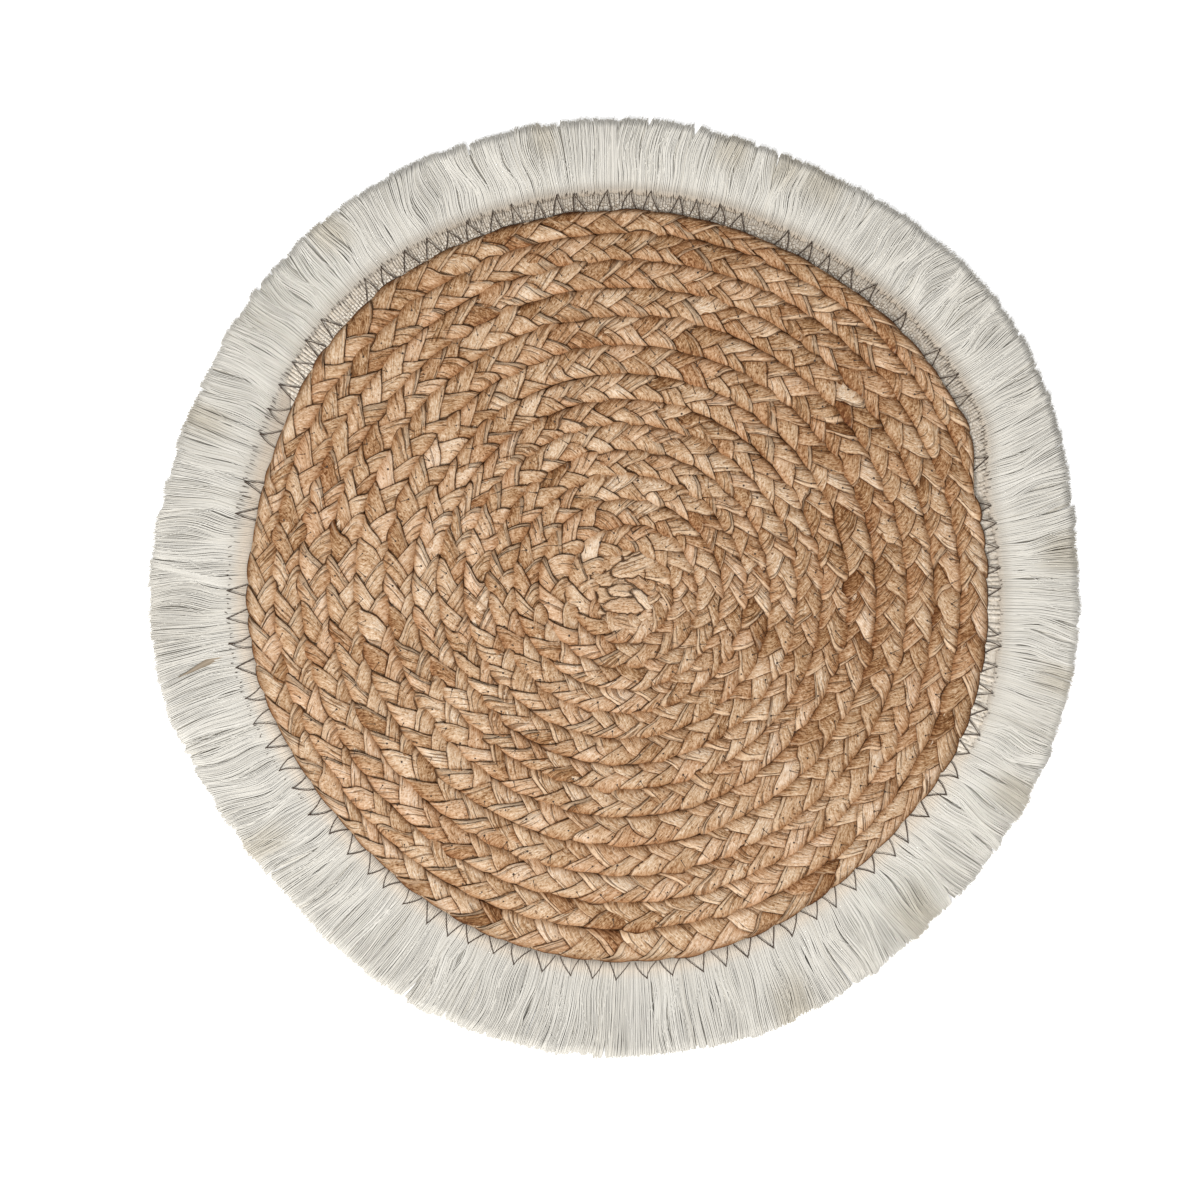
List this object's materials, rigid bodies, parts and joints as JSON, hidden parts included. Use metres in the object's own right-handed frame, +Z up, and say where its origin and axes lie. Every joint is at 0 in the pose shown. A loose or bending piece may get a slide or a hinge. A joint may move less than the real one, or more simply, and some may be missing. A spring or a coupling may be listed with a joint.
{
  "type": "round fringed placemat",
  "caption": "Round flat placemat of plaited straw sewn up as a spiral, with a loose cotton thread fringe round its rim.",
  "frame": {"origin": "middle of the part's box in plan, on the table surface", "axes": "+Z up out of the table, +Y towards the top of the picture"},
  "size_m": [0.3812, 0.385, 0.0055],
  "materials": {
    "plaited_straw": "dry folded straw strips in a flat plait, tan to brown, fine lengthwise grain, low sheen",
    "cotton_thread": "matt off-white cotton thread, loosely combed",
    "dark_sewing_thread": "dark brown sewing thread"
  },
  "bodies": {
    "root": {"braided_mat": "plaited_straw", "fringe": "cotton_thread"}
  },
  "joints": []
}
